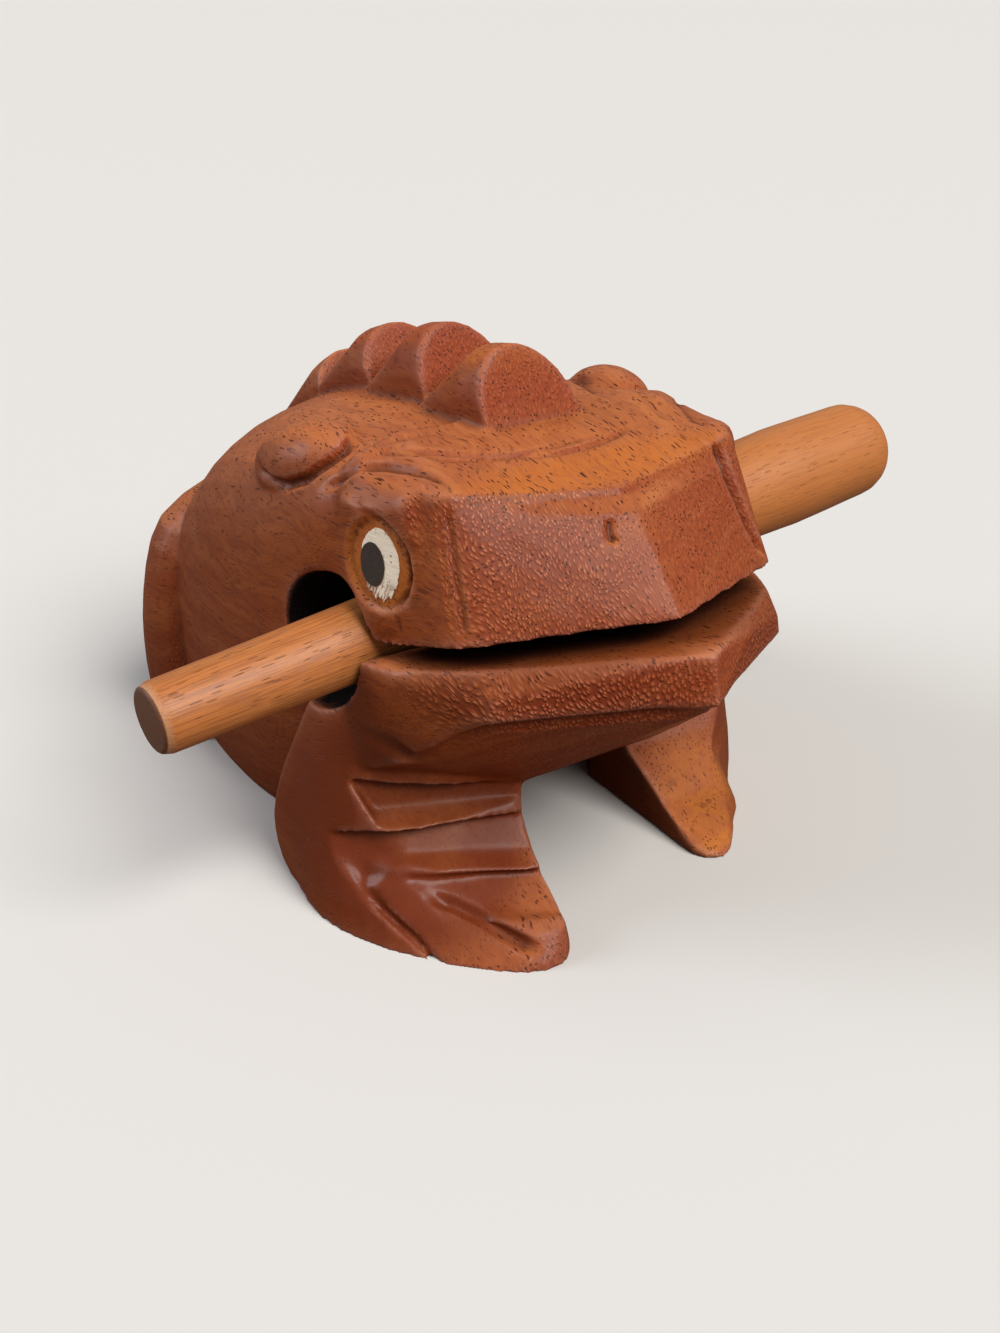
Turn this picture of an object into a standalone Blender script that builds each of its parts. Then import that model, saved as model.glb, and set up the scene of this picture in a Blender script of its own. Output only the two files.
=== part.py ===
"""Frog guiro: a frog carved from one block of wood, with a loose turned stick.

Metres, +Z up. The frog faces -Y, its right side is -X, the floor is z = 0.
Lengths below are written in millimetres and scaled by MM when meshes are made.
The tables are drawn for one frog and are stretched to the overall sizes by drawn().
"""
import math

import bmesh
import bpy
from mathutils import Vector

MM = 0.001

# Overall sizes, and the same sizes of the frog that the tables are drawn for.
FROG_LENGTH = 126.2
FROG_WIDTH = 81.0
HEAD_TOP = 66.9
DRAWN = (81.0, 126.2, 66.9)
STRETCH = (FROG_WIDTH / DRAWN[0], FROG_LENGTH / DRAWN[1], HEAD_TOP / DRAWN[2])

# The origin lies on the flat belly, this far behind the zero of the y values below.
BELLY_CENTRE_Y = 30.0 * STRETCH[1]

# Room that is left between pieces that don't touch.
CLEARANCE = 0.3

# Cross hole through the head, drilled a little off level.
HOLE_RADIUS = 9.6
HOLE_Y = -3.0 * STRETCH[1]
HOLE_Z_RIGHT = 39.6 * STRETCH[2]
HOLE_Z_LEFT = 43.6 * STRETCH[2]
HOLE_HALF_SPAN = 33.0 * STRETCH[0]

# Striker stick: thin flat end at the frog's right, thick round end at its left.
# In each mouth of the hole it lies off centre by a share of the free room, towards (y, z).
STICK_LENGTH = 137.5
STICK_RADIUS_THIN = 5.0
STICK_RADIUS_THICK = 8.4
STICK_SWELLS_UP_TO = 0.84
STICK_OUT_RIGHT = 28.5
STICK_LIES_RIGHT = (-0.85, 0.03)
STICK_LIES_LEFT = (0.56, 0.58)

# Spine fins: a flat leaning face in front, a short crest and a falling back.
FIN_HALF_WIDTH = 8.2
FIN_HEIGHT = 10.8
FIN_LEAN = 5.0
FIN_CREST = 5.0
FIN_TAIL = 17.0
FIN_FLARE = 1.6
FIN_SINK = 4.5
FINS = ((-6.9, 1.00), (9.6, 1.05), (27.0, 0.96), (44.0, 0.84), (58.6, 0.72))

# Trunk stations: y, half width, top, bottom, height of the widest line,
# roundness above it and roundness below it.
TRUNK = (
    (-15.0, 24.0, 63.0, 24.0, 42.0, 6.0, 2.6),
    (-4.0, 31.7, 66.0, 11.0, 38.0, 5.8, 2.6),
    (8.0, 34.9, 66.2, -7.0, 31.0, 4.3, 3.0),
    (20.0, 36.7, 65.2, -12.0, 28.0, 3.3, 3.2),
    (34.0, 37.5, 62.8, -12.0, 26.0, 2.8, 3.2),
    (48.0, 36.0, 57.2, -12.0, 24.0, 2.5, 3.1),
    (60.0, 30.4, 48.4, -9.0, 22.0, 2.3, 2.8),
    (70.5, 19.8, 35.4, -1.0, 19.0, 2.1, 2.4),
    (76.4, 5.5, 21.5, 11.5, 16.5, 2.0, 2.0),
)

# Upper jaw. The ridge down the middle of the snout and the ridge at each corner.
SNOUT_MID = ((42.0, -45.6), (49.6, -41.4), (58.0, -34.4), (63.6, -28.8), (68.0, -24.4))
CORNER = ((42.0, 26.6, -32.3), (47.7, 26.0, -29.6), (65.8, 24.2, -21.0), (68.0, 24.0, -20.0))
CORNER_ROUNDING = 2.2
HEAD_FOOT = 42.0
HEAD_FOOT_TUCK = 0.8
BROW_BELOW_TOP = 5.4
BROW_ROUNDING = 3.1

# Mouth slot, seen from the side: middle line and half height at y.
MOUTH_LINE = ((-58.0, 50.9, 1.5), (-41.2, 48.1, 1.6), (-29.8, 45.8, 1.7), (-16.5, 42.3, 1.25), (-5.0, 39.3, 1.3))

# Lower jaw and throat, right half: lip top, lip front, underside and neck.
JAW = (
    ((0.0, -41.0, 49.0), (0.0, -48.2, 47.9), (-24.6, -28.6, 46.6), (-29.0, -22.0, 45.0), (-33.4, -8.0, 40.0)),
    ((0.0, -49.8, 40.8), (-12.0, -41.4, 44.9), (-24.6, -33.6, 41.0), (-31.6, -20.5, 40.8)),
    ((-25.0, -33.9, 37.9), (-30.6, -20.6, 27.4), (-34.2, -10.6, 22.0), (-12.0, -21.6, 18.6), (0.0, -22.4, 19.6)),
    ((-30.0, 2.0, 40.0), (-20.0, 2.0, 20.0), (0.0, 2.0, 20.0)),
)

# Forelegs: level, then the outer outline of the right leg at that level, from
# the heel round the front to the inner corner. The inner side follows the arch.
LEG = (
    (0.0, ((-37.0, 6.5), (-40.0, -4.0), (-40.4, -14.0), (-36.0, -24.5), (-27.5, -35.0), (-19.6, -40.4),
           (-14.0, -38.0))),
    (4.0, ((-37.7, 6.8), (-40.3, -3.5), (-39.8, -12.8), (-34.8, -22.4), (-26.4, -31.0), (-19.4, -36.8),
           (-14.0, -36.8))),
    (9.0, ((-38.2, 6.4), (-40.0, -3.0), (-38.8, -11.2), (-34.4, -17.8), (-26.0, -24.6), (-18.9, -27.6),
           (-13.4, -29.0))),
    (16.0, ((-37.8, 4.2), (-38.8, -3.0), (-37.2, -10.4), (-33.6, -16.4), (-25.5, -20.4), (-18.0, -22.0),
            (-12.4, -22.8))),
    (24.0, ((-36.0, 1.4), (-37.0, -3.8), (-35.7, -8.8), (-33.0, -13.2), (-25.0, -18.4), (-17.4, -20.4),
            (-10.0, -20.8))),
    (32.0, ((-33.8, -1.6), (-34.8, -5.3), (-33.9, -9.0), (-31.4, -13.4), (-24.0, -18.2), (-16.0, -19.8),
            (-10.0, -19.8))),
    (37.5, ((-31.0, -4.6), (-31.8, -7.4), (-30.9, -11.0), (-27.6, -14.6), (-21.6, -16.0), (-15.6, -16.0),
            (-10.0, -16.0))),
)
LEFT_TOE_SHORTER = 8.0
LEFT_LEG_SLIMMER = 5.5

# Arch between the forelegs, and how far the inner side of a leg reaches into it.
ARCH_HALF_WIDTH = 14.2
ARCH_OFF_CENTRE = 1.2
ARCH_HEIGHT = 19.4
ARCH_DEPTH = 6.0
ARCH_BITE = 0.9

# The stepped cuts of a foreleg run across its front, which is turned outward by this
# angle. Each corner is along the cut, out from the middle, height. Each row goes
# from the crease over the bottom of the cut and its lower edge to the open side.
LEG_TURN = math.radians(32.7)
STEP_UPPER = (
    ((-22.9, 28.2, 21.6), (-19.6, 28.9, 16.9), (-18.3, 31.3, 15.3), (-20.0, 42.0, 16.5), (-24.0, 42.0, 25.0)),
    ((9.0, 24.0, 18.4), (9.0, 24.4, 17.0), (9.0, 26.0, 16.4), (9.0, 38.0, 17.4), (9.0, 38.0, 22.5)),
)
STEP_LOWER = (
    ((-28.4, 29.5, 12.8), (-28.0, 29.7, 12.2), (-27.6, 30.0, 11.8), (-29.0, 44.0, 11.0), (-29.0, 44.0, 13.8)),
    ((-20.5, 29.2, 14.3), (-20.8, 31.2, 9.4), (-20.8, 32.4, 6.8), (-22.0, 46.0, 5.6), (-21.0, 44.0, 15.0)),
    ((-15.0, 28.7, 14.6), (-15.0, 31.6, 10.9), (-15.0, 34.9, 9.7), (-15.0, 46.0, 9.7), (-15.0, 44.0, 15.3)),
    ((9.0, 24.4, 15.3), (9.0, 28.5, 10.0), (9.0, 31.0, 8.9), (9.0, 44.0, 8.9), (9.0, 40.0, 15.5)),
)
STEP_TOE = (
    ((-16.6, 35.4, 9.2), (-16.6, 34.4, 8.8), (-16.6, 36.0, 7.8), (-16.6, 46.0, 8.4)),
    ((-9.0, 35.4, 9.6), (-9.0, 32.7, 8.3), (-9.0, 38.6, 4.9), (-9.0, 46.0, 8.0)),
    ((9.0, 33.0, 9.2), (9.0, 29.6, 7.7), (9.0, 36.5, 4.2), (9.0, 46.0, 7.0)),
)
TOE_LINES = (
    ((-22.2, 32.3, 7.4), (-17.8, 36.6, 4.4), (-13.0, 40.2, 1.8), (-9.6, 43.0, -0.8)),
    ((-11.6, 34.9, 7.2), (-6.0, 38.4, 5.0), (0.0, 41.2, 3.4), (5.2, 43.2, 2.2)),
)
TOE_LINE_DEPTH = 1.6

# The left foreleg has one plain scoop in front instead, seen from the side here.
LEFT_SCOOP = ((-46.0, -1.0), (-31.4, 0.8), (-21.5, 5.4), (-12.8, 11.6), (-9.4, 15.2), (-10.0, 18.0),
              (-14.0, 20.4), (-22.0, 22.0), (-46.0, 24.0))
LEFT_SCOOP_TURN = 0.1

# Hind legs: level, centre x, centre y, half sizes in x and y.
HIND = (
    (0.0, -30.6, 54.0, 8.4, 9.6),
    (12.0, -31.2, 53.8, 9.0, 10.0),
    (26.0, -30.8, 53.1, 8.8, 9.7),
    (38.5, -28.4, 52.6, 7.2, 7.8),
    (46.5, -23.0, 51.6, 1.4, 1.8),
)

# Oval bumps behind the brows.
BUMP_CENTRE = (-26.6, 12.2, 60.6)
BUMP_LENGTH = 22.6
BUMP_WIDTH = 12.6
BUMP_HEIGHT = 11.0

# Curved line carved across the head behind the brows: it bends back by
# SWEEP times x squared from its foremost point.
BROW_LINE_FRONT = -15.9
BROW_LINE_SWEEP = 0.0172
BROW_LINE_REACH = 30.6
BROW_LINE_REACH_LEFT = 12.0
BROW_LINE_DEPTH = 1.2
BROW_LINE_HALF_WIDTH = 1.7


def drawn(point):
    """Stretch a point of the tables to the overall sizes."""
    return tuple(value * share for value, share in zip(point, STRETCH))


def clear_scene():
    """Remove everything the default file brings."""
    for obj in list(bpy.data.objects):
        bpy.data.objects.remove(obj, do_unlink=True)


def finish_mesh(name, bm):
    """Close a bmesh into a named object with outward faces."""
    bmesh.ops.remove_doubles(bm, verts=bm.verts, dist=0.00002)
    bmesh.ops.recalc_face_normals(bm, faces=bm.faces)
    bmesh.ops.translate(bm, verts=bm.verts, vec=(0.0, -BELLY_CENTRE_Y * MM, 0.0))
    mesh = bpy.data.meshes.new(name)
    bm.to_mesh(mesh)
    bm.free()
    obj = bpy.data.objects.new(name, mesh)
    bpy.context.scene.collection.objects.link(obj)
    return obj


def ring_solid(name, rings):
    """Bridge rings of equal length into one closed solid with fan ends."""
    bm = bmesh.new()
    rows = []
    for ring in rings:
        rows.append([bm.verts.new(Vector(p) * MM) for p in ring])
    count = len(rows[0])
    for low, high in zip(rows[:-1], rows[1:]):
        for i in range(count):
            j = (i + 1) % count
            bm.faces.new((low[i], low[j], high[j], high[i]))
    for row in (rows[0], rows[-1]):
        middle = bm.verts.new(sum((v.co for v in row), Vector()) / count)
        for i in range(count):
            bm.faces.new((row[i], row[(i + 1) % count], middle))
    return finish_mesh(name, bm)


def hull_solid(name, points):
    """Convex solid through a cloud of points."""
    bm = bmesh.new()
    for p in points:
        bm.verts.new(Vector(p) * MM)
    result = bmesh.ops.convex_hull(bm, input=bm.verts)
    loose = set(result["geom_interior"]) | set(result["geom_unused"])
    bmesh.ops.delete(bm, geom=[g for g in loose if isinstance(g, bmesh.types.BMVert)], context="VERTS")
    return finish_mesh(name, bm)


def combine(base, other, operation):
    """Apply one exact Boolean and drop the second object."""
    mod = base.modifiers.new(operation.lower(), "BOOLEAN")
    mod.operation = operation
    mod.solver = "EXACT"
    mod.object = other
    bpy.context.view_layer.update()
    graph = bpy.context.evaluated_depsgraph_get()
    result = bpy.data.meshes.new_from_object(base.evaluated_get(graph))
    old = base.data
    base.modifiers.clear()
    base.data = result
    bpy.data.meshes.remove(old)
    gone = other.data
    bpy.data.objects.remove(other, do_unlink=True)
    bpy.data.meshes.remove(gone)
    return base


def read(table, key):
    """Read rows of (key, a, b, ...) at a key between two rows."""
    if key <= table[0][0]:
        return table[0][1:]
    for low, high in zip(table[:-1], table[1:]):
        if key <= high[0]:
            t = (key - low[0]) / (high[0] - low[0])
            return tuple(a + (b - a) * t for a, b in zip(low[1:], high[1:]))
    return table[-1][1:]


def curve(rows, steps, closed=False):
    """Rows on a smooth curve through the given ones, with so many steps in each gap."""
    rows = [tuple(row) for row in rows]
    count = len(rows)
    out = []
    for i in range(count if closed else count - 1):
        four = []
        for j in range(i - 1, i + 3):
            four.append(rows[j % count if closed else min(max(j, 0), count - 1)])
        for k in range(steps):
            t = k / steps
            row = []
            for a, b, c, d in zip(*four):
                row.append(0.5 * (2.0 * b + (c - a) * t + (2.0 * a - 5.0 * b + 4.0 * c - d) * t * t
                                  + (3.0 * b - a - 3.0 * c + d) * t * t * t))
            out.append(tuple(row))
    if not closed:
        out.append(rows[-1])
    return out


def trunk_ring(station, count=44):
    """One rounded cross section of the trunk."""
    y, half, top, bottom, middle, up, down = station
    ring = []
    for i in range(count):
        angle = 2.0 * math.pi * (i + 0.5) / count
        c = math.cos(angle)
        s = math.sin(angle)
        power = up if s >= 0 else down
        x = half * math.copysign(abs(c) ** (2.0 / power), c)
        rise = (top - middle) if s >= 0 else (middle - bottom)
        z = middle + rise * math.copysign(abs(s) ** (2.0 / power), s)
        ring.append(drawn((x, y, z)))
    return ring


def head_top(x, y):
    """Height of the top of the head."""
    edge = max(0.0, abs(x) - 22.0 - 0.25 * max(0.0, -y - 12.0))
    return DRAWN[2] + 0.150 * (min(y, -7.0) + 7.0) + 0.0012 * x * x - 0.09 * edge * edge


def back_line(y):
    """Height of the middle of the back."""
    trunk = read(curve(TRUNK, 3), y)[1]
    return max(trunk, head_top(0.0, y)) if y < 0.0 else trunk


def head_outline(z):
    """Plan of the upper head at one height, from the snout ridge round to it again."""
    front = read(SNOUT_MID, z)[0]
    cx, cy = read(CORNER, z)
    slope = (cy - front) / cx
    half = [(0.0, front)]
    for t in (0.25, 0.5, 0.72):
        half.append((cx * t, front + (cy - front) * t))
    r = CORNER_ROUNDING
    half.append((cx - r, cy - r * slope))
    half.append((cx - 0.32 * r, cy - 0.1 * r * slope))
    half.append((cx + 0.27 * r, cy + 0.64 * r))
    half.append((cx + 0.73 * r, cy + 1.73 * r))
    lean = (z - 55.0) * 0.05
    for x, y in ((28.6, -17.6), (29.8, -13.6), (30.7, -9.6), (31.2, -5.0), (29.0, -1.0)):
        half.append((x - lean, y))
    half.append((20.0, 0.0))
    half.append((10.0, 0.0))
    right = [(-x, y) for x, y in half]
    left = [(x, y) for x, y in reversed(half[1:])]
    return right + [(0.0, 0.0)] + left


def make_head():
    """Upper head: facets in front, flat brows above, rounded cheeks."""
    rings = []
    brow = DRAWN[2] - BROW_BELOW_TOP
    for step in range(6):
        z = HEAD_FOOT + (brow - HEAD_FOOT) * step / 5.0
        tuck = HEAD_FOOT_TUCK if step == 0 else 1.0
        rings.append([drawn((x, y * tuck, z)) for x, y in head_outline(z)])
    top = head_outline(brow + BROW_ROUNDING)
    rings.append([drawn((x, y, head_top(x, y) - 1.0)) for x, y in top])
    for scale, drop in ((0.975, 0.22), (0.92, 0.0), (0.7, 0.0), (0.4, 0.0)):
        ring = []
        for x, y in top:
            px = x * scale
            py = -15.0 + (y + 15.0) * scale
            ring.append(drawn((px, py, head_top(px, py) - drop)))
        rings.append(ring)
    return ring_solid("frog_head", rings)


def make_fin(y, size):
    """One tooth of the ridge, standing on the back at y."""
    tilt = 0.75 * math.atan2(back_line(y) - back_line(y + 12.0), 12.0)
    foot_y = y * STRETCH[1]
    foot_z = back_line(y) * STRETCH[2] - FIN_SINK * math.sin(tilt)
    points = []
    stations = (
        (0.0, FIN_LEAN * size, FIN_HEIGHT * size, FIN_HALF_WIDTH),
        (FIN_CREST * size, (FIN_LEAN + FIN_CREST) * size, (FIN_HEIGHT - 0.9) * size, FIN_HALF_WIDTH + 0.5 * FIN_FLARE),
        (FIN_TAIL, FIN_TAIL, 0.15 * FIN_HEIGHT, FIN_HALF_WIDTH + FIN_FLARE),
    )
    for foot, crest, height, half in stations:
        for k in range(13):
            a = math.pi * k / 12.0
            rise = math.sin(a) ** 0.72
            x = half * math.cos(a) * (1.0 - 0.12 * math.sin(a)) - 0.14 * height * rise
            along = foot + (crest - foot) * rise
            z = height * rise
            points.append((x, foot_y + along * math.cos(tilt) + z * math.sin(tilt) * 0.35,
                           foot_z + z - along * math.sin(tilt)))
        y_foot = foot_y + foot * math.cos(tilt)
        sink = foot_z - foot * math.sin(tilt) - 0.5 * FIN_HEIGHT
        points.append((half, y_foot, sink))
        points.append((-half, y_foot, sink))
    return hull_solid("fin", points)


def leg_point(side, x, y, z):
    """A point of the right leg's table on either leg; the left foot is shorter and slimmer."""
    if side > 0:
        front = min(max((-y - 8.0) / 8.0, 0.0), 1.0)
        outer = min(max((-x - 16.0) / 16.0, 0.0), 1.15)
        y = y + LEFT_TOE_SHORTER * max(0.0, -y - 22.0) / 18.6
        x = x + LEFT_LEG_SLIMMER * front * outer - 2.0 * ARCH_OFF_CENTRE * (1.0 - min(outer, 1.0))
    x, y, z = drawn((x, y, z))
    return (-x * side, y, z)


def turned(corner):
    """A corner of a leg cut, given along the turned front of the right leg."""
    along, out, z = corner
    x = along * math.cos(LEG_TURN) - out * math.sin(LEG_TURN)
    y = -along * math.sin(LEG_TURN) - out * math.cos(LEG_TURN)
    return leg_point(-1.0, x, y, z)


def make_leg(side):
    """One foreleg; side is -1 for the frog's right and 1 for its left."""
    inner = -(ARCH_HALF_WIDTH - ARCH_BITE - ARCH_OFF_CENTRE) / STRETCH[0]
    rows = []
    for z, outline in LEG:
        row = [z]
        for x, y in outline:
            row.extend((x, y))
        front = outline[-1][1]
        for share in (0.35, 0.7, 1.0):
            row.extend((inner, front + (-3.0 - front) * share))
        row.extend((0.5 * inner - 16.0, outline[0][1] + 1.0))
        rows.append(row)
    rings = []
    for row in curve(rows, 2):
        flat = list(zip(row[1::2], row[2::2]))
        rings.append([leg_point(side, x, y, row[0]) for x, y in curve(flat, 3, closed=True)])
    return ring_solid("foreleg", rings)


def v_groove(name, path, width, depth, normals):
    """Shallow V cut along a path; normals point out of the wood."""
    rings = []
    last = len(path) - 1
    for i, point in enumerate(path):
        p = Vector(point)
        along = Vector(path[min(i + 1, last)]) - Vector(path[max(i - 1, 0)])
        n = Vector(normals[i]).normalized()
        across = along.cross(n).normalized()
        fade = 0.35 if i in (0, last) else 1.0
        rings.append([
            tuple(p - n * depth * fade),
            tuple(p + across * width * fade + n * depth * fade),
            tuple(p - across * width * fade + n * depth * fade),
        ])
    return ring_solid(name, rings)


def right_leg_cuts():
    """The stepped cuts and the toe lines of the right foreleg."""
    cuts = []
    for step in (STEP_UPPER, STEP_LOWER, STEP_TOE):
        cuts.append(ring_solid("leg_step", [[turned(corner) for corner in row] for row in step]))
    for line in TOE_LINES:
        path = [turned(corner) for corner in line]
        out = (-0.58, -0.58, 0.58)
        cuts.append(v_groove("toe_line", path, 0.8 * TOE_LINE_DEPTH, TOE_LINE_DEPTH, [out] * len(path)))
    return cuts


def left_leg_cuts():
    """The one scoop of the left foreleg."""
    ends = []
    for x in (0.0, FROG_WIDTH):
        turn = LEFT_SCOOP_TURN * (x - ARCH_HALF_WIDTH)
        ends.append([drawn((x, y - turn, z)) for y, z in LEFT_SCOOP])
    return [ring_solid("leg_scoop", ends)]


def make_hind(side):
    """One hind leg, folded against the rump."""
    rings = []
    for z, cx, cy, ax, ay in curve(HIND, 3):
        ring = []
        for k in range(20):
            a = 2.0 * math.pi * k / 20.0
            x, y, height = drawn((cx + ax * math.cos(a), cy + ay * math.sin(a), z))
            ring.append((-side * x, y, height))
        rings.append(ring)
    return ring_solid("hind_leg", rings)


def make_bump(side):
    """Oval bump behind one brow."""
    along = Vector((0.22 * side, 0.93, -0.29)).normalized()
    out = Vector((0.62 * side, 0.10, 0.78))
    across = out.cross(along).normalized()
    out = along.cross(across).normalized()
    x, y, z = drawn(BUMP_CENTRE)
    centre = Vector((-x * side, y, z))
    rings = []
    for r in range(1, 12):
        lat = math.pi * r / 12.0
        ring = []
        for c in range(24):
            lon = 2.0 * math.pi * c / 24.0
            ring.append(tuple(
                centre
                + along * (0.5 * BUMP_LENGTH * math.cos(lat))
                + across * (0.5 * BUMP_WIDTH * math.sin(lat) * math.cos(lon))
                + out * (0.5 * BUMP_HEIGHT * math.sin(lat) * math.sin(lon))
            ))
        rings.append(ring)
    return ring_solid("bump", rings)


def round_bar(name, start, axis, profile, count=40):
    """Round bar with radii at distances along its axis."""
    side = axis.cross(Vector((0.0, 0.0, 1.0))).normalized()
    up = side.cross(axis).normalized()
    rings = []
    for along, radius in profile:
        ring = []
        for k in range(count):
            t = 2.0 * math.pi * (k + 0.5) / count
            ring.append(tuple(start + axis * along + side * (radius * math.cos(t)) + up * (radius * math.sin(t))))
        rings.append(ring)
    return ring_solid(name, rings)


def hole_centre(x):
    """A point of the cross hole's axis."""
    t = (x + HOLE_HALF_SPAN) / (2.0 * HOLE_HALF_SPAN)
    return Vector((x, HOLE_Y, HOLE_Z_RIGHT + (HOLE_Z_LEFT - HOLE_Z_RIGHT) * t))


def make_frog():
    """The carved frog, one closed solid."""
    frog = ring_solid("frog_body", [trunk_ring(s) for s in curve(TRUNK, 3)])
    combine(frog, make_head(), "UNION")
    jaw = []
    for row in JAW:
        for x, y, z in row:
            jaw.append(drawn((x, y, z)))
            jaw.append(drawn((-x, y, z)))
    combine(frog, hull_solid("jaw", jaw), "UNION")
    for side, cuts in ((-1.0, right_leg_cuts()), (1.0, left_leg_cuts())):
        leg = make_leg(side)
        for cutter in cuts:
            combine(leg, cutter, "DIFFERENCE")
        combine(frog, leg, "UNION")
        combine(frog, make_hind(side), "UNION")
        combine(frog, make_bump(side), "UNION")
    for y, size in FINS:
        combine(frog, make_fin(y, size), "UNION")

    path = []
    out = []
    for k in range(15):
        x = -BROW_LINE_REACH + (BROW_LINE_REACH + BROW_LINE_REACH_LEFT) * k / 14.0
        y = BROW_LINE_FRONT + BROW_LINE_SWEEP * x * x
        path.append(drawn((x, y, head_top(x, y))))
        out.append((0.9 * (x / BROW_LINE_REACH) ** 9, 0.0, 1.0))
    combine(frog, v_groove("brow_line", path, BROW_LINE_HALF_WIDTH, BROW_LINE_DEPTH, out), "DIFFERENCE")

    side_line = [(y, z + h) for y, z, h in MOUTH_LINE] + [(y, z - h) for y, z, h in reversed(MOUTH_LINE)]
    slot = [[drawn((x, y, z)) for y, z in side_line] for x in (-60.0, 60.0)]
    combine(frog, ring_solid("mouth_slot", slot), "DIFFERENCE")
    start = hole_centre(-1.8 * HOLE_HALF_SPAN)
    end = hole_centre(1.8 * HOLE_HALF_SPAN)
    profile = ((0.0, HOLE_RADIUS), ((end - start).length, HOLE_RADIUS))
    combine(frog, round_bar("cross_hole", start, (end - start).normalized(), profile), "DIFFERENCE")

    arch = []
    for y, grow in ((-70.0, 1.0), (ARCH_DEPTH - 6.0, 1.0), (ARCH_DEPTH, 0.55)):
        ring = []
        for k in range(17):
            a = math.pi * k / 16.0
            x = ARCH_HALF_WIDTH * grow * math.copysign(abs(math.cos(a)) ** 0.7, math.cos(a))
            ring.append((x, ARCH_HEIGHT * grow * math.sin(a) ** 0.7 - 0.01))
        ring.append((-ARCH_HALF_WIDTH * grow, -ARCH_HEIGHT))
        ring.append((ARCH_HALF_WIDTH * grow, -ARCH_HEIGHT))
        arch.append([(ARCH_OFF_CENTRE + x, y * STRETCH[1], z) for x, z in ring])
    combine(frog, ring_solid("arch", arch), "DIFFERENCE")

    corners = ((-FROG_WIDTH, -FROG_LENGTH), (FROG_WIDTH, -FROG_LENGTH), (FROG_WIDTH, FROG_LENGTH), (-FROG_WIDTH, FROG_LENGTH))
    floor = [[(x, y, z) for x, y in corners] for z in (-HEAD_TOP, 0.0)]
    combine(frog, ring_solid("floor_cut", floor), "DIFFERENCE")
    return frog


def stick_radius(along):
    """Radius of the stick before its ends are rounded: it swells, then thins a little."""
    share = along / (STICK_LENGTH * STICK_SWELLS_UP_TO)
    swell = share ** 1.4 if share < 1.0 else 1.0 - 2.0 * (share - 1.0) ** 1.5
    return STICK_RADIUS_THIN + (STICK_RADIUS_THICK - STICK_RADIUS_THIN) * swell


def stick_rest(side, lies):
    """Where the stick's axis passes one mouth of the hole."""
    x = side * (HOLE_HALF_SPAN - 1.3)
    room = HOLE_RADIUS - CLEARANCE - stick_radius(x + HOLE_HALF_SPAN + STICK_OUT_RIGHT)
    return hole_centre(x) + Vector((0.0, lies[0] * room, lies[1] * room))


def make_stick():
    """Turned stick, thin flat end first, thick round end last."""
    right = stick_rest(-1.0, STICK_LIES_RIGHT)
    left = stick_rest(1.0, STICK_LIES_LEFT)
    axis = (left - right).normalized()
    start = right - axis * ((right.x + HOLE_HALF_SPAN + STICK_OUT_RIGHT) / axis.x)
    rim = 0.1 * STICK_RADIUS_THIN
    dome = 0.7 * STICK_RADIUS_THICK
    profile = [(0.0, STICK_RADIUS_THIN - rim), (rim, STICK_RADIUS_THIN - 0.2 * rim), (2.4 * rim, STICK_RADIUS_THIN)]
    for step in range(1, 8):
        along = (STICK_LENGTH - dome) * step / 8.0
        profile.append((along, stick_radius(along)))
    thick = stick_radius(STICK_LENGTH - dome)
    for step in range(8):
        a = math.radians(12.0 * step)
        profile.append((STICK_LENGTH - dome * (1.0 - math.sin(a)), thick - 0.9 * dome * (1.0 - math.cos(a))))
    return round_bar("striker_stick", start, axis, profile)


def give_material(obj, name, colour, roughness):
    """One Principled material for one object."""
    mat = bpy.data.materials.new(name)
    mat.use_nodes = True
    shader = mat.node_tree.nodes["Principled BSDF"]
    shader.inputs["Base Color"].default_value = colour
    shader.inputs["Roughness"].default_value = roughness
    obj.data.materials.clear()
    obj.data.materials.append(mat)


def main():
    """Build both pieces."""
    clear_scene()
    frog = make_frog()
    stick = make_stick()
    give_material(frog, "carved_wood", (0.26, 0.075, 0.03, 1.0), 0.45)
    give_material(stick, "turned_wood", (0.45, 0.19, 0.07, 1.0), 0.5)


main()
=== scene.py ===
"""Frog guiro: the looks of a carved wooden frog with its loose striker stick.

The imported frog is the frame. The frog faces -Y, its right side is -X and it sits on z = 0.
Sizes of the fine carving are in millimetres, and are multiplied by MM where meshes are made.
"""
import math

import bpy
import numpy as np
from bpy.props import FloatProperty, FloatVectorProperty, IntProperty, PointerProperty
from bpy.types import Operator, Panel, PropertyGroup
from mathutils import Matrix, Vector
from mathutils.bvhtree import BVHTree
from mathutils.kdtree import KDTree


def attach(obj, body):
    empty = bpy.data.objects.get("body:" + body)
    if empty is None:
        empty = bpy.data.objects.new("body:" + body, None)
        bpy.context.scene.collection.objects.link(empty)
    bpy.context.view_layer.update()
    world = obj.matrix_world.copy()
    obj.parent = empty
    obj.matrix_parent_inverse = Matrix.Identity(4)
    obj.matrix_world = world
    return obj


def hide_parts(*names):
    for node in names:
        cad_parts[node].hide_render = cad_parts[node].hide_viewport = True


bl_info = {
    "name": "Frog guiro",
    "version": (1, 0, 0),
    "blender": (4, 5, 0),
    "location": "View3D > Sidebar > Frog guiro",
    "description": "A frog carved from one block of wood, with its striker stick",
    "category": "Add Mesh",
}

MM = 0.001
PER_METRE = 1000.0

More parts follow.
